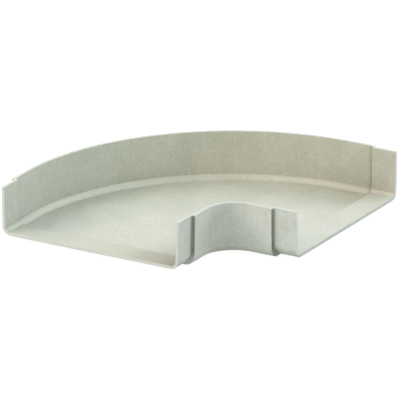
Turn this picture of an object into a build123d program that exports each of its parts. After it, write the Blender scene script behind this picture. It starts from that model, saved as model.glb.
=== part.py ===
# Flat quarter bend for a moulded cable tray, in one piece.
#
# The bend is an open channel, a floor between two upright walls, that turns in
# its own plane. Each end is joggled: floor and walls step inwards together by
# a little more than their thickness, and the spigot that this makes slides into
# the end of the straight tray that follows.
#
# Millimetres and degrees. +Z is up and the underside of the floor is on Z = 0.
# The origin is the point of the underside where the centre lines of the two
# runs cross. One run opens towards -X and the other, its mirror image, towards -Y.

from build123d import *
import os
from math import radians, sqrt, tan

# The tray's section
clear_width = 200.0       # between the walls, at the foot
clear_height = 50.0       # from the floor to the top edges
wall = 3.2                # thickness of the floor and of both walls
wall_draft = 1.2          # each wall leans outwards, to leave the mould
outside_corner = 10.8     # radius between the floor and a wall, outside
inside_strip = 4.9        # legs of the flat strip between floor and wall, in the channel
strip_rounding = 1.5      # where the strip meets the floor and the wall

# The turn
bend_angle = 90.0         # between the two runs
inner_bend_radius = 30.0  # outside face of the inner wall, at its foot
straight_length = 25.8    # from the end of the arc to the step

# The joggled ends
spigot_length = 25.7      # from the step to the open end
spigot_clearance = 0.2    # left all round inside the tray that takes the spigot
spigot_corner = 9.0       # radius between the floor and a wall, outside
step_web = 1.8            # thickness of the step itself, along the run

# Edges
brow_rounding = 0.6       # outward edges of the step
root_rounding = 1.2       # inward corners of the step
rim_chamfer = 0.35        # top edges and open ends, where the moulding is trimmed

# How far the form that clears the channel runs past the top and the open ends
overrun = 5.0

# Sizes that follow from these
draft_slope = tan(radians(wall_draft))
outer_width = clear_width + 2 * wall
outer_height = clear_height + wall
centre_radius = inner_bend_radius + outer_width / 2
half_turn = bend_angle / 2
joggle = wall + spigot_clearance
# The strip gets this much shorter when the whole section is set in by the joggle
spigot_strip = inside_strip - joggle * (2 - sqrt(2))

# Places along the run that opens towards -X
arc_end = -centre_radius * tan(radians(half_turn))
outside_step = arc_end - straight_length
channel_step = outside_step + step_web
open_end = outside_step - spigot_length

turning_axis = Axis((arc_end, -centre_radius, 0), (0, 0, -1))
diagonal = Plane(origin=(0, 0, 0), z_dir=(1, -tan(radians(half_turn)), 0))


def filled_section(place, inset, corner, top):
    """Section across the run, filled up to the top, and set in by the same inset
    from the outside of the bend at the floor and at both walls. The corner is a
    pair: the legs of a flat strip, or zero for none, and the radius of the edges."""
    strip, rounding = corner
    foot = outer_width / 2 - inset + inset * draft_slope
    brim = outer_width / 2 - inset + top * draft_slope
    with BuildSketch(Plane.YZ.offset(place)) as section:
        with BuildLine():
            Polyline((-brim, top), (-foot, inset), (foot, inset), (brim, top), close=True)
        make_face()
        if strip:
            chamfer(section.vertices().group_by(Axis.Y)[0], length=strip)
        below_brim = section.vertices().sort_by(Axis.Y)[:-2]
        fillet(below_brim, radius=rounding)
    return section.sketch


def below_top(edges):
    """These edges without the ones that lie along the top."""
    return edges.filter_by(lambda edge: edge.center().Z < clear_height)


def joggled_half(wide, narrow, corners, step, end, top, roundings):
    """Filled form of half the bend: half the arc and the straight run, set in by
    wide up to the step, then set in by narrow up to the end."""
    wide_corner, narrow_corner = corners
    wide_rounding, narrow_rounding = roundings
    with BuildPart() as form:
        run = filled_section(arc_end, wide, wide_corner, top)
        revolve(run, axis=turning_axis, revolution_arc=half_turn)
        extrude(run, amount=step - arc_end)
        wide_rim = form.faces().sort_by(Axis.X)[0].edges()
        fillet(below_top(wide_rim), radius=wide_rounding)
        extrude(filled_section(step, narrow, narrow_corner, top), amount=end - step)
        across = form.edges(Select.LAST).filter_by(Plane.YZ)
        narrow_root = across.group_by(Axis.X)[-1]
        fillet(below_top(narrow_root), radius=narrow_rounding)
    return form.part


outside = joggled_half(
    wide=0,
    narrow=joggle,
    corners=((0, outside_corner), (0, spigot_corner)),
    step=outside_step,
    end=open_end,
    top=outer_height,
    roundings=(brow_rounding, root_rounding),
)

# The channel narrows nearer to the arc than the outside does, which leaves the
# web of the step between the two. Its wide part ends in the step's inward corner.
channel = joggled_half(
    wide=wall,
    narrow=joggle + wall,
    corners=((inside_strip, strip_rounding), (spigot_strip, strip_rounding)),
    step=channel_step,
    end=open_end - overrun,
    top=outer_height + overrun,
    roundings=(root_rounding, brow_rounding),
)

with BuildPart() as tray_bend:
    add(outside)
    add(channel, mode=Mode.SUBTRACT)
    mirror(about=diagonal)
    rim = tray_bend.faces().group_by(Axis.Z)[-1].edges()
    rim += tray_bend.faces().sort_by(Axis.X)[0].edges()
    rim += tray_bend.faces().sort_by(Axis.Y)[0].edges()
    chamfer(rim, length=rim_chamfer)

tray_bend.part.label = "tray_bend"

os.makedirs("parts", exist_ok=True)
export_step(tray_bend.part, "parts/tray_bend.step")
print("volume cm3", round(tray_bend.part.volume / 1000, 2))
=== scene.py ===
# The look of the cable tray bend: the finish of its moulding, a plain pale floor,
# soft studio light and the camera.
#
# Metres. The frame is the CAD model's: +Z is up, one open end faces -X and the
# other -Y, and the turn's centre lies towards -X -Y.

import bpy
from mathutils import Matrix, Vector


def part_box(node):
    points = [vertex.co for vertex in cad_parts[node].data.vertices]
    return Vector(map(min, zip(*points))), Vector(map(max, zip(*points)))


bl_info = {
    "name": "Cable tray bend",
    "version": (1, 0, 0),
    "blender": (4, 5, 0),
    "location": "3D View > Sidebar > Tray bend",
    "description": "Finishes the moulded tray bend and sets it on a studio floor",
    "category": "Object",
}

from math import cos, radians, sin

import bpy
from mathutils import Matrix, Vector

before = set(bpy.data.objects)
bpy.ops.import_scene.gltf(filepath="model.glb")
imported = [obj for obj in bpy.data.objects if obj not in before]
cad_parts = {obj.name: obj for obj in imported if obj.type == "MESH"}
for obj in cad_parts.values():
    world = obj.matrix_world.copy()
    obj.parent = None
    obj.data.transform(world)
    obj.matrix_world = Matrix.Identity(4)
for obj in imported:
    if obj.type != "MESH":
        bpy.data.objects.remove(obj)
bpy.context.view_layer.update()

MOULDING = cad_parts["tray_bend"]

X, Y, Z = 0, 1, 2

# Places on the moulding. The turn's centre lies as far towards -X as towards -Y,
# and the distances out from it are the radii of the arc.
TURN_CENTRE = -0.1332
INNER_WALL = 0.0332  # out from the turn's centre to the channel's inner side
OUTER_WALL = 0.2332  # out from the turn's centre to the channel's outer side
FLOOR_TOP = 0.0032
OUTSIDE_STEP = -0.159
CHANNEL_STEP = -0.1572
JOGGLE = 0.0034  # how far a spigot is set in
STRIP = 0.0049  # legs of the flat strip between the floor and a wall
SPIGOT_STRIP = 0.0029

# Where painted shade, painted light, dust and wear come in along X, Y or Z. Each
# pair is the place where they start, or start to fade, and the place where they
# are in full, or gone.
STEP_FOOT_RISE = (0.005, 0.014)  # up a step, above its foot, where less painted shade is left
LOW_RISE = (0.006, 0.014)  # up a spigot, above the painted shadow that lies low on it
CUT_FLOOR_RISE = (0.007, 0.01)  # up an open end, above the floor's cut edge
SPIGOT_FLOOR = (-0.1578, -0.1584)  # along a run, where its spigot's floor starts
DULL_SPIGOT = (-0.16, -0.163)
# along X, where painted shade comes onto the upper part of the flat strip
SHADED_STRIP = (-0.108, -0.138)
# along the runs, where a painted highlight comes onto the flat strip towards the open
# ends
HIGHLIGHT_ALONG = (-0.01, -0.06)
UNSHADED_ACROSS = (0.09, 0.0)  # across a run, where the floor by its step starts to lose its painted shade, and where it has none
# dust with the inner wall's painted shadow on the floor by the -X end, and just before
# its step
DUST_AND_SHADE_ACROSS = (0.07, -0.1)
DRIFT_AND_SHADE_ALONG, DRIFT_AND_SHADE_ACROSS = (-0.1, CHANNEL_STEP), (-0.05, -0.1)
# painted light, with some rubbing and wear, on the floor by the -Y end
RUBBED_AND_LIT_ACROSS = (-0.01, 0.09)
WORN_AND_LIT_ALONG, WORN_AND_LIT_ACROSS = (-0.06, -0.15), (0.06, -0.04)

# The same, measured from the moulding's own edges
HIGHLIGHT_BAND = (-STRIP / 6, -STRIP / 2)  # in from the edges of the flat strip, where a painted highlight runs along it
BELOW_RIM = (0.5, 3.0)  # down a step from the top, in lengths of its brow shade
CLEAR_OF_STEP = (1.0, 3.0)  # away from a step, in the same lengths

FULL_PART = 1 / 3  # of the reach of painted shade that thins out slowly, from its start
DULL_END = 0.25  # Painted shade on the end that faces -X, as a share of the other end's

# How far a face has to look up, down or out, as a part of its normal
LOOKS_UP = (0.5, 0.9)
LOOKS_DOWN = (-0.2, -0.6)
LOOKS_OUT = (0.4, 0.6)
OFF_LEVEL = (-0.99, -0.9)  # from the flat underside to a slope

# The noise at which each mottle starts to show, and at which it shows in full
PATCHES_SHOW = (0.35, 0.65)
BUNDLES_SHOW = (0.55, 0.75)
FLOW_SHOWS = (0.3, 0.7)
FLOW_SWING = (-0.5, 0.5)  # from less fibre to more
PATCH_DETAIL = 3.0  # how much finer noise lies in the patches
FLECK_DETAIL = 2.0  # and in everything smaller

# Directions that bundles of chopped fibres take, turned about X, Y and Z, in degrees
FIBRE_LAYS = (
    (0, 0, 12),
    (0, 0, 74),
    (0, 0, -41),
    (0, 63, 33),
    (0, -58, -20),
    (0, 85, 0),
)

RESIN_IOR = 1.5
SHEET_ROUGHNESS = 0.9
SENSOR_WIDTH = 36.0  # millimetres, as the lens

# Square lights round the part, in metres
SOFTBOX_SIDE = 1.0
SOFTBOX_REACH = 2.0
SOFTBOX_AIM = (-0.04, -0.04, 0.02)

# Name, azimuth from +X towards +Y and elevation in degrees, watts, colour
SOFTBOXES = (
    ("softbox_180_8", 180, 8, 20.26, (0.93, 1.00, 0.82)),
    ("softbox_300_8", 300, 8, 20.69, (0.74, 0.84, 1.00)),
    ("softbox_60_24", 60, 24, 22.20, (1.00, 0.71, 0.57)),
    ("softbox_150_24", 150, 24, 21.73, (1.00, 0.74, 0.77)),
    ("softbox_0_42", 0, 42, 12.99, (0.88, 0.94, 1.00)),
    ("softbox_30_42", 30, 42, 8.22, (0.55, 0.71, 1.00)),
    ("softbox_120_42", 120, 42, 25.00, (1.00, 0.93, 0.76)),
    ("softbox_270_42", 270, 42, 21.88, (1.00, 0.86, 0.70)),
    ("softbox_330_42", 330, 42, 8.82, (0.86, 1.00, 0.84)),
    ("softbox_300_62", 300, 62, 15.26, (0.73, 0.89, 1.00)),
)


def tint(name, default, note):
    """A colour setting."""
    return bpy.props.FloatVectorProperty(
        name=name,
        description=note,
        subtype="COLOR",
        size=3,
        min=0,
        max=1,
        default=default,
    )


def length(name, default, note):
    """A setting for a length in metres."""
    return bpy.props.FloatProperty(
        name=name,
        description=note,
        subtype="DISTANCE",
        unit="LENGTH",
        precision=5,
        default=default,
    )


def turn(name, default, note):
    """A setting for an angle, with its default given in degrees."""
    return bpy.props.FloatProperty(
        name=name,
        description=note,
        subtype="ANGLE",
        unit="ROTATION",
        default=radians(default),
    )


def share(name, default, note):
    """A setting between nothing and all."""
    return bpy.props.FloatProperty(
        name=name, description=note, subtype="FACTOR", min=0, max=1, default=default
    )


def amount(name, default, note):
    """A setting for a plain number, which is nothing or more."""
    return bpy.props.FloatProperty(name=name, description=note, min=0, default=default)


class MouldingFinish(bpy.types.PropertyGroup):
    """Colours and textures of the glass-reinforced moulding."""

    resin_rich: tint("Resin rich", (0.33, 0.368, 0.333), "Resin covers the fibres")
    fibre_rich: tint("Fibre rich", (0.412, 0.448, 0.43), "Fibres lie near the skin")
    yellowed: tint("Yellowed", (1.0, 0.965, 0.9), "Tint of the yellowed channel")
    trimmed: tint("Trimmed", (0.4, 0.44, 0.42), "Cut fibres on the trimmed edges")
    patch: length("Patch", 0.03, "Width of the cloudy patches")
    patch_share: share("Patch share", 0.4, "How much fibre the patches show")
    bundle: length("Bundle", 0.0026, "Width of a bundle of chopped fibres")
    bundle_run: length("Bundle run", 0.011, "Length of a bundle of chopped fibres")
    bundle_depth: length("Bundle depth", 0.00005, "How far the bundles stand proud")
    bundle_share: share("Bundle share", 0.8, "How much fibre the bundles show")
    flow: length("Flow", 0.004, "Width of the upright flow marks on the walls")
    flow_run: length("Flow run", 0.03, "Length of the flow marks")
    flow_share: share("Flow share", 0.15, "How much fibre the flow marks show")
    grain: length("Grain", 0.0007, "Width of the fine grain of the skin")
    grain_depth: length("Grain depth", 0.00003, "Depth of the fine grain")
    trim: length("Trim", 0.0005, "How far the trimming shows from an edge")
    # Painted shade: a dark colour laid where shade falls, in the steps' corners, in the
    # channel by the steps, on and beside the flat strip, on the rounded foot and on the
    # cut ends. The settings from here down to the cut edge's share place it, apart from
    # the one for the -X spigot.
    shade: tint("Dirt", (0.13, 0.147, 0.108), "Dirt that gathers in the steps")
    brow_shade: length("Brow dirt", 0.0006, "From the edge of a step to full dirt")
    early_shade: length("Early dirt", 0.0005, "How much nearer it starts, on the -Y run")
    root_shade: length("Root dirt", 0.0006, "Full dirt on a spigot beside the step")
    root_fade: length("Root fade", 0.0035, "Width over which that dirt fades out")
    step_shade: share("Step dirt", 0.77, "Share of dirt on the outside of the steps")
    x_step_foot_shade: share("Washed foot", 0.0, "Part of it left low on the -X step")
    y_step_foot_shade: share("Stained foot", 0.75, "Part of it left low on the -Y step")
    root_foot: share("Root foot", 0.68, "More dirt low on a spigot beside the step")
    root_reach: length("Root reach", 0.012, "How far that dirt reaches from the step")
    channel_full: length("Channel full", 0.001, "Full dirt in the channel by a step")
    channel_fade: length("Channel fade", 0.0055, "Width over which that dirt fades out")
    channel_shade: share("Channel dirt", 0.65, "Share of dirt in the channel by a step")
    foot: length("Foot", 0.02, "How far the dirt reaches from the flat strip")
    foot_start: length("Foot start", 0.0015, "From the strip's edge to full dirt")
    foot_shade: share("Foot dirt", 0.1, "Share of dirt beside the flat strip")
    # makes the outside of the -X spigot a little darker
    spigot_darkening: share("Spigot dirt", 0.075, "Share of dirt outside on the -X spigot")
    strip_fade: length("Strip fade", 0.004, "How far the strip's dirt goes up a wall")
    strip_shade: share("Strip dirt", 0.22, "Share of dirt on the strip by the -X end")
    round_foot: length("Round foot", 0.009, "How far up the rounded foot is dirty")
    round_shade: share("Round dirt", 0.6, "Share of dirt on the rounded foot")
    end_shade: share("End dirt", 0.38, "Share of dirt on the floor's cut edge")
    # Dust, with the inner wall's shadow painted on the floor by the end that faces -X
    dust_and_shade: tint("Dust", (0.175, 0.16, 0.067), "Dust that lies on the -X spigot's floor")
    dust_and_shade_share: share("Dust share", 0.8, "Most dust on that floor")
    drift_and_shade_share: share("Drift share", 0.42, "Dust that has drifted past the step")
    # Painted light, with some rubbing and wear: the paler floor at and just before the
    # spigot that faces -Y
    rubbed_and_lit: tint("Rubbed", (0.5, 0.53, 0.485), "Skin that is rubbed pale")
    rubbed_and_lit_share: share("Rubbed share", 0.36, "Most rubbing on the -Y spigot's floor")
    worn_and_lit_share: share("Worn share", 0.2, "Most rubbing on the floor before that spigot")
    # a painted highlight along the middle of the flat strip
    highlight_share: share("Crown share", 0.3, "Most rubbing along the flat strip")
    satin: share("Satin", 0.42, "Roughness where the skin is smoothest")
    matt: share("Matt", 0.56, "Roughness where the skin is dullest")


class StudioStage(bpy.types.PropertyGroup):
    """Floor, lights and camera."""

    floor: tint("Floor", (0.15, 0.15, 0.15), "Colour of the floor sheet")
    floor_side: length("Floor side", 60.0, "Side of the square floor")
    floor_glow: amount("Floor glow", 0.92, "Light that comes through the floor sheet")
    sky: amount("Sky", 0.0, "Light from all round")
    lens: amount("Lens", 1080.0, "Focal length in millimetres")
    aim_x: length("Aim X", -0.04092, "Place that the camera looks at, along X")
    aim_y: length("Aim Y", -0.04113, "Place that the camera looks at, along Y")
    aim_z: length("Aim Z", 0.02, "Place that the camera looks at, along Z")
    heading: turn("Heading", 30.157, "Way that the camera looks, from +X towards +Y")
    drop: turn("Drop", 20.291, "How far down the camera looks")
    lean: turn("Lean", 0.053, "How far the camera leans to one side")
    reach: length("Reach", 11.839, "From the camera to the place it looks at")


def put(tree, kind, inputs=None, **settings):
    """Adds a shader node. An input takes a value or another node's output."""
    node = tree.nodes.new(kind)
    for name, value in settings.items():
        setattr(node, name, value)
    for name, value in (inputs or {}).items():
        socket = node.inputs[name]
        if isinstance(value, bpy.types.NodeSocket):
            tree.links.new(value, socket)
        else:
            socket.default_value = value
    return node


def work_out(tree, operation, *values):
    """One number from several, taken together two at a time, or from one."""
    total = values[0]
    for value in values[1:] or (0.0,):
        node = put(tree, "ShaderNodeMath", {0: total, 1: value}, operation=operation)
        total = node.outputs[0]
    return total


def plus(tree, *values):
    """The sum of the values."""
    return work_out(tree, "ADD", *values)


def minus(tree, *values):
    """The first value less all the others."""
    return work_out(tree, "SUBTRACT", *values)


def times(tree, *values):
    """The product of the values."""
    return work_out(tree, "MULTIPLY", *values)


def most(tree, *values):
    """The largest of the values."""
    return work_out(tree, "MAXIMUM", *values)


def least(tree, *values):
    """The smallest of the values."""
    return work_out(tree, "MINIMUM", *values)


def stretch(tree, value, low, high, to_low=0.0, to_high=1.0):
    """The value, moved from the range low to high and held inside the new one."""
    inputs = {0: value, 1: low, 2: high, 3: to_low, 4: to_high}
    return put(tree, "ShaderNodeMapRange", inputs, clamp=True).outputs[0]


def fade(tree, value, full, gone):
    """One up to the place where it is full, nothing from where it is gone."""
    return stretch(tree, value, full, gone, 1.0, 0.0)


def blend(tree, factor, first, second, how="MIX"):
    """First colour where the factor is nothing, second where it is one."""
    inputs = {0: factor, 6: first, 7: second}
    settings = {"data_type": "RGBA", "blend_type": how}
    return put(tree, "ShaderNodeMix", inputs, **settings).outputs[2]


def cloud(tree, place, size, lay=(0, 0, 0), detail=FLECK_DETAIL):
    """Noise with blots of the given size along X, Y and Z, turned by lay."""
    turned = tuple(radians(angle) for angle in lay)
    inputs = {"Vector": place, "Rotation": turned, "Scale": size}
    grid = put(tree, "ShaderNodeMapping", inputs, vector_type="TEXTURE")
    inputs = {"Vector": grid.outputs[0], "Scale": 1.0, "Detail": detail}
    return put(tree, "ShaderNodeTexNoise", inputs).outputs["Fac"]


def opaque(colour):
    """A colour setting as a colour socket takes it."""
    return (*colour, 1.0)


class Skin:
    """The moulding's shader tree and the masks that its painted shade, painted light,
    dust and wear share. All of them are worked out from a place on the moulding and
    the way it faces."""

    def __init__(self, tree, finish):
        self.tree = tree
        self.finish = finish
        spot = put(tree, "ShaderNodeTexCoord").outputs
        self.place = spot["Object"]
        self.axes = put(tree, "ShaderNodeSeparateXYZ", {0: self.place}).outputs
        self.facing = put(tree, "ShaderNodeSeparateXYZ", {0: spot["Normal"]}).outputs

        # Falls along both runs, towards their open ends
        self.foremost = least(tree, self.axes[X], self.axes[Y])
        # One on a spigot, and how far the place is set in with it
        self.spigot = work_out(tree, "LESS_THAN", self.foremost, CHANNEL_STEP)
        self.set_in = times(tree, self.spigot, JOGGLE)
        # One where the place faces up
        self.level = stretch(tree, self.facing[Z], *LOOKS_UP)
        self.outside = self.outer_side()
        self.inside = minus(tree, 1.0, self.outside)
        self.beyond = self.beyond_strip()

    def outer_side(self):
        """One on the outside of the walls and underneath, nothing in the channel."""
        tree = self.tree
        away = [times(tree, self.axes[axis], self.facing[axis]) for axis in (X, Y)]
        outward = stretch(tree, plus(tree, *away), 0.0, INNER_WALL)
        under = stretch(tree, self.facing[Z], *LOOKS_DOWN)
        return most(tree, outward, under)

    def beyond_strip(self):
        """How far a place lies beyond the edges of the flat strip between a wall
        and the floor, less than nothing on the strip itself."""
        tree = self.tree
        out = [minus(tree, self.axes[axis], TURN_CENTRE) for axis in (X, Y)]
        out = [most(tree, distance, 0.0) for distance in out]
        squares = [times(tree, distance, distance) for distance in out]
        radius = work_out(tree, "SQRT", plus(tree, *squares))
        from_outer = minus(tree, OUTER_WALL, radius)
        from_inner = minus(tree, radius, INNER_WALL)
        from_wall = least(tree, from_outer, from_inner)
        height = minus(tree, self.axes[Z], FLOOR_TOP)
        from_corner = most(tree, from_wall, height)
        covered = stretch(tree, self.spigot, 0.0, 1.0, STRIP, SPIGOT_STRIP + JOGGLE)
        return minus(tree, from_corner, covered)


def outside_step_shade(skin, along, early, left_low):
    """Painted shade outside in the step of the run that lies along this axis, where
    its corner lies in shade, and a painted shadow low on the spigot beside it. It
    starts early by a length, and a part of it is left low on the step."""
    tree, finish, axes = skin.tree, skin.finish, skin.axes
    edge = OUTSIDE_STEP + finish.brow_shade + early
    past = minus(tree, edge, axes[along])
    full = finish.brow_shade + finish.root_shade

    start = stretch(tree, past, 0.0, finish.brow_shade)
    end = fade(tree, past, full, full + finish.root_fade)
    below_rim = minus(tree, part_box("tray_bend")[1].z, axes[Z])
    depths = [finish.brow_shade * part for part in BELOW_RIM]
    below_rim = stretch(tree, below_rim, *depths)
    foot_thinning = stretch(tree, axes[Z], *STEP_FOOT_RISE, left_low, 1.0)
    masks = (start, end, end, skin.outside, below_rim, foot_thinning, finish.step_shade)
    on_step = times(tree, *masks)

    start = stretch(tree, past, full, full + finish.brow_shade)
    end = fade(tree, past, finish.root_reach * FULL_PART, finish.root_reach)
    low = fade(tree, axes[Z], *LOW_RISE)
    masks = (start, end, end, low, skin.outside, finish.root_foot)
    return plus(tree, on_step, times(tree, *masks))


def channel_step_shade(skin, along, across):
    """Painted shade in the channel's corner by the step of the run that lies along
    the one axis and across the other, on the walls and the outer part of the floor."""
    tree, finish = skin.tree, skin.finish
    unshaded_floor = times(tree, skin.level, stretch(tree, skin.axes[across], *UNSHADED_ACROSS))
    in_shade = minus(tree, 1.0, most(tree, skin.outside, unshaded_floor))
    short = minus(tree, skin.axes[along], CHANNEL_STEP)
    full = finish.channel_full
    start = stretch(tree, short, -full, -full / 2)
    end = fade(tree, short, full, full + finish.channel_fade)
    return times(tree, start, end, end, in_shade, finish.channel_shade)


def foot_shade(skin):
    """Painted shade in the channel on both sides of the flat strip, in the corners
    between the walls and the floor.
    """
    tree, finish = skin.tree, skin.finish
    start = stretch(tree, skin.beyond, -finish.foot_start, finish.foot_start)
    end = fade(tree, skin.beyond, finish.foot_start, finish.foot)
    return times(tree, start, end, end, finish.foot_shade)


def round_shade(skin):
    """Painted shade outside on the rounded foot of the walls, but not in the steps."""
    tree, finish = skin.tree, skin.finish
    from_step = work_out(tree, "ABSOLUTE", minus(tree, skin.foremost, OUTSIDE_STEP))
    gaps = [finish.brow_shade * part for part in CLEAR_OF_STEP]
    clear = stretch(tree, from_step, *gaps)
    up = minus(tree, skin.axes[Z], skin.set_in)
    low = fade(tree, up, finish.round_foot * FULL_PART, finish.round_foot)
    sloping = stretch(tree, skin.facing[Z], *OFF_LEVEL)
    return times(tree, low, sloping, skin.outside, clear, finish.round_shade)


def spigot_darkening(skin):
    """A little darker all over the outside of the spigot that faces -X."""
    on_spigot = stretch(skin.tree, skin.axes[X], *DULL_SPIGOT)
    return times(skin.tree, on_spigot, skin.outside, skin.finish.spigot_darkening)


def strip_shade(skin):
    """Painted shade on the upper part of the flat strip before the step that faces -X.
    """
    tree, finish = skin.tree, skin.finish
    height = minus(tree, skin.axes[Z], FLOOR_TOP, skin.set_in)
    upper = stretch(tree, height, 0.0, STRIP)
    near = fade(tree, skin.beyond, 0.0, finish.strip_fade)
    outlying = stretch(tree, skin.axes[X], *SHADED_STRIP)
    channel = minus(tree, 1.0, skin.outside, skin.spigot)
    return times(tree, upper, near, outlying, channel, finish.strip_shade)


def all_shade(skin):
    """The share of painted shade on the skin, apart from the trimmed edges, with the
    -X spigot's outside made a little darker.
    """
    finish = skin.finish
    return plus(
        skin.tree,
        outside_step_shade(skin, X, 0.0, finish.x_step_foot_shade),
        outside_step_shade(skin, Y, finish.early_shade, finish.y_step_foot_shade),
        channel_step_shade(skin, X, Y),
        channel_step_shade(skin, Y, X),
        strip_shade(skin),
        spigot_darkening(skin),
        foot_shade(skin),
        round_shade(skin),
    )


def floor_patch(skin, along, reach, across, rise):
    """A patch of the channel's floor. It starts over the reach along the run, and
    grows over the rise across it."""
    tree, axes = skin.tree, skin.axes
    within = stretch(tree, axes[along], *reach)
    rising = stretch(tree, axes[across], *rise)
    return times(tree, skin.level, within, rising)


def all_dust_and_shade(skin):
    """The share of dust and painted shadow on the floor towards the end that faces -X:
    the inner wall's shadow, darkest by that wall, in a warm dust colour.
    """
    tree, finish = skin.tree, skin.finish
    dust_and_shadow = floor_patch(skin, X, SPIGOT_FLOOR, Y, DUST_AND_SHADE_ACROSS)
    dust_and_shadow = times(tree, dust_and_shadow, dust_and_shadow, dust_and_shadow, finish.dust_and_shade_share)
    drift_and_shade = floor_patch(skin, X, DRIFT_AND_SHADE_ALONG, Y, DRIFT_AND_SHADE_ACROSS)
    return most(tree, dust_and_shadow, times(tree, drift_and_shade, finish.drift_and_shade_share))


def all_light_and_rubbing(skin):
    """The share of skin made paler: painted light, with some rubbing and wear, on the
    floor towards the end that faces -Y, and a painted highlight along the middle of
    the flat strip towards both ends."""
    tree, finish = skin.tree, skin.finish
    rubbed_and_lit = floor_patch(skin, Y, SPIGOT_FLOOR, X, RUBBED_AND_LIT_ACROSS)
    rubbed_and_lit = times(tree, rubbed_and_lit, finish.rubbed_and_lit_share)
    worn_and_lit = floor_patch(skin, Y, WORN_AND_LIT_ALONG, X, WORN_AND_LIT_ACROSS)
    worn_and_lit = times(tree, worn_and_lit, finish.worn_and_lit_share)
    middle = stretch(tree, skin.beyond, *HIGHLIGHT_BAND)
    outlying = stretch(tree, skin.foremost, *HIGHLIGHT_ALONG)
    painted_highlight = times(tree, skin.inside, middle, outlying, finish.highlight_share)
    return most(tree, rubbed_and_lit, worn_and_lit, painted_highlight)


def trimmed_edge(skin, axis, edge, way):
    """The cut faces at one end of the moulding's box along an axis: its far end
    where way is 1, and its near end where way is -1."""
    tree, trim = skin.tree, skin.finish.trim
    near = times(tree, minus(tree, skin.axes[axis], edge), way)
    near = stretch(tree, near, -trim, -trim / 2)
    out = stretch(tree, times(tree, skin.facing[axis], way), *LOOKS_OUT)
    return times(tree, near, out)


def shaded_ends(skin, end_x, end_y):
    """Painted shade on the floor's cut edge at one end, and a little on the whole
    other.
    """
    tree, finish = skin.tree, skin.finish
    low = stretch(tree, skin.axes[Z], *CUT_FLOOR_RISE, finish.end_shade, 0.0)
    shaded_edge = times(tree, end_y, low)
    return most(tree, shaded_edge, times(tree, end_x, finish.end_shade * DULL_END))


def moulded_skin(finish):
    """Pebble grey polyester with chopped glass fibres just under its skin."""
    material = bpy.data.materials.new("moulded_skin")
    material.use_nodes = True
    tree = material.node_tree
    tree.nodes.clear()
    skin = Skin(tree, finish)

    patches = cloud(tree, skin.place, (finish.patch,) * 3, detail=PATCH_DETAIL)
    size = (finish.bundle_run, finish.bundle, finish.bundle)
    lays = [cloud(tree, skin.place, size, lay) for lay in FIBRE_LAYS]
    bundles = stretch(tree, most(tree, *lays), *BUNDLES_SHOW)
    grain = cloud(tree, skin.place, (finish.grain,) * 3)
    size = (finish.flow, finish.flow, finish.flow_run)
    flow = stretch(tree, cloud(tree, skin.place, size), *FLOW_SHOWS, *FLOW_SWING)
    upright = minus(tree, 1.0, work_out(tree, "ABSOLUTE", skin.facing[Z]))
    fibrous = plus(
        tree,
        times(tree, bundles, finish.bundle_share),
        stretch(tree, patches, *PATCHES_SHOW, 0.0, finish.patch_share),
        times(tree, flow, upright, finish.flow_share),
    )

    low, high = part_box("tray_bend")
    end_x = trimmed_edge(skin, X, low.x, -1)
    end_y = trimmed_edge(skin, Y, low.y, -1)
    trimmed = most(tree, end_x, end_y, trimmed_edge(skin, Z, high.z, 1))

    resin_rich, fibre_rich = opaque(finish.resin_rich), opaque(finish.fibre_rich)
    colour = blend(tree, fibrous, resin_rich, fibre_rich)
    # Coats over the mottled colour: a yellower channel, dust with the inner wall's
    # painted shadow, painted light and a painted highlight with some rubbing, painted
    # shade, the trimmed edges, and painted shade on the cut ends.
    coats = (
        (skin.inside, finish.yellowed, "MULTIPLY"),
        (all_dust_and_shade(skin), finish.dust_and_shade, "MIX"),
        (all_light_and_rubbing(skin), finish.rubbed_and_lit, "MIX"),
        (all_shade(skin), finish.shade, "MIX"),
        (trimmed, finish.trimmed, "MIX"),
        (shaded_ends(skin, end_x, end_y), finish.shade, "MIX"),
    )
    for factor, coat, how in coats:
        colour = blend(tree, factor, colour, opaque(coat), how)

    dull = most(tree, stretch(tree, patches, *PATCHES_SHOW), trimmed)
    bundle_relief = times(tree, bundles, finish.bundle_depth)
    grain_relief = times(tree, grain, finish.grain_depth)
    relief = plus(tree, bundle_relief, grain_relief)
    bump = put(tree, "ShaderNodeBump", {"Height": relief, "Distance": 1.0})
    inputs = {
        "Base Color": colour,
        "Roughness": stretch(tree, dull, 0.0, 1.0, finish.satin, finish.matt),
        "Normal": bump.outputs[0],
        "IOR": RESIN_IOR,
    }
    shader = put(tree, "ShaderNodeBsdfPrincipled", inputs)
    put(tree, "ShaderNodeOutputMaterial", {"Surface": shader.outputs[0]})
    return material


class FinishMoulding(bpy.types.Operator):
    """Give the moulding its pebble grey, fibre-mottled skin"""

    bl_idname = "tray_bend.finish_moulding"
    bl_label = "Finish moulding"

    def execute(self, context):
        skin = moulded_skin(context.scene.moulding_finish)
        for slot in MOULDING.material_slots:
            slot.material = skin
        return {"FINISHED"}


def make_floor(stage):
    """A square pale floor under the part."""
    half = stage.floor_side / 2
    corners = [(-half, -half, 0), (half, -half, 0), (half, half, 0), (-half, half, 0)]
    mesh = bpy.data.meshes.new("studio_floor")
    mesh.from_pydata(corners, [], [(0, 1, 2, 3)])
    floor = bpy.data.objects.new("studio_floor", mesh)
    bpy.context.scene.collection.objects.link(floor)
    sheet = bpy.data.materials.new("pale_sheet")
    sheet.use_nodes = True
    shader = sheet.node_tree.nodes["Principled BSDF"]
    shader.inputs["Base Color"].default_value = opaque(stage.floor)
    shader.inputs["Roughness"].default_value = SHEET_ROUGHNESS
    shader.inputs["Specular IOR Level"].default_value = 0.0
    shader.inputs["Emission Color"].default_value = (1, 1, 1, 1)
    shader.inputs["Emission Strength"].default_value = stage.floor_glow
    mesh.materials.append(sheet)


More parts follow.
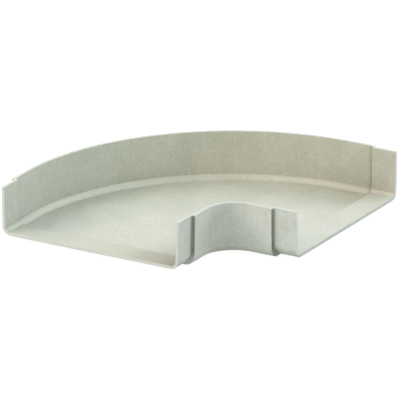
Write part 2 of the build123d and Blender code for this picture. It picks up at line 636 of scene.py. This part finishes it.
def softbox(name, azimuth, elevation, power, colour):
    """A square light that faces the part."""
    lamp = bpy.data.lights.new(name, "AREA")
    lamp.size = SOFTBOX_SIDE
    lamp.energy = power
    lamp.color = colour
    around, up = radians(azimuth), radians(elevation)
    out = Vector((cos(around) * cos(up), sin(around) * cos(up), sin(up)))
    box = bpy.data.objects.new(name, lamp)
    box.location = Vector(SOFTBOX_AIM) + out * SOFTBOX_REACH
    box.rotation_euler = out.to_track_quat("Z", "Y").to_euler()
    bpy.context.scene.collection.objects.link(box)


def make_camera(stage):
    """A long lens that looks into the bend between its two open ends."""
    heading, drop = stage.heading, stage.drop
    ahead = Vector((cos(drop) * cos(heading), cos(drop) * sin(heading), -sin(drop)))
    lens = bpy.data.cameras.new("camera")
    lens.lens = stage.lens
    lens.sensor_width = SENSOR_WIDTH
    lens.clip_end = stage.reach * 3
    camera = bpy.data.objects.new("camera", lens)
    bpy.context.scene.collection.objects.link(camera)
    aim = Vector((stage.aim_x, stage.aim_y, stage.aim_z))
    place = Matrix.Translation(aim - ahead * stage.reach)
    facing = (-ahead).to_track_quat("Z", "Y").to_matrix().to_4x4()
    camera.matrix_world = place @ facing @ Matrix.Rotation(stage.lean, 4, "Z")
    bpy.context.scene.camera = camera


class SetStage(bpy.types.Operator):
    """Lay the floor, hang the lights and place the camera"""

    bl_idname = "tray_bend.set_stage"
    bl_label = "Set stage"

    def execute(self, context):
        stage = context.scene.studio_stage
        make_floor(stage)
        for box in SOFTBOXES:
            softbox(*box)
        world = bpy.data.worlds.new("studio")
        world.use_nodes = True
        background = world.node_tree.nodes["Background"]
        background.inputs["Color"].default_value = (1, 1, 1, 1)
        background.inputs["Strength"].default_value = stage.sky
        context.scene.world = world
        context.scene.view_settings.view_transform = "Standard"
        make_camera(stage)
        return {"FINISHED"}


class TrayBendPanel(bpy.types.Panel):
    """Settings and steps of the tray bend"""

    bl_idname = "VIEW3D_PT_tray_bend"
    bl_label = "Tray bend"
    bl_space_type = "VIEW_3D"
    bl_region_type = "UI"
    bl_category = "Tray bend"

    def draw(self, context):
        groups = (
            (context.scene.moulding_finish, FinishMoulding),
            (context.scene.studio_stage, SetStage),
        )
        for settings, step in groups:
            box = self.layout.box()
            for name in settings.bl_rna.properties.keys():
                if name not in ("rna_type", "name"):
                    box.prop(settings, name)
            box.operator(step.bl_idname)


CLASSES = (MouldingFinish, StudioStage, FinishMoulding, SetStage, TrayBendPanel)


def register():
    for item in CLASSES:
        bpy.utils.register_class(item)
    scene = bpy.types.Scene
    scene.moulding_finish = bpy.props.PointerProperty(type=MouldingFinish)
    scene.studio_stage = bpy.props.PointerProperty(type=StudioStage)


def unregister():
    del bpy.types.Scene.studio_stage
    del bpy.types.Scene.moulding_finish
    for item in reversed(CLASSES):
        bpy.utils.unregister_class(item)


def main():
    register()
    bpy.ops.tray_bend.finish_moulding()
    bpy.ops.tray_bend.set_stage()


if __name__ == "__main__":
    main()
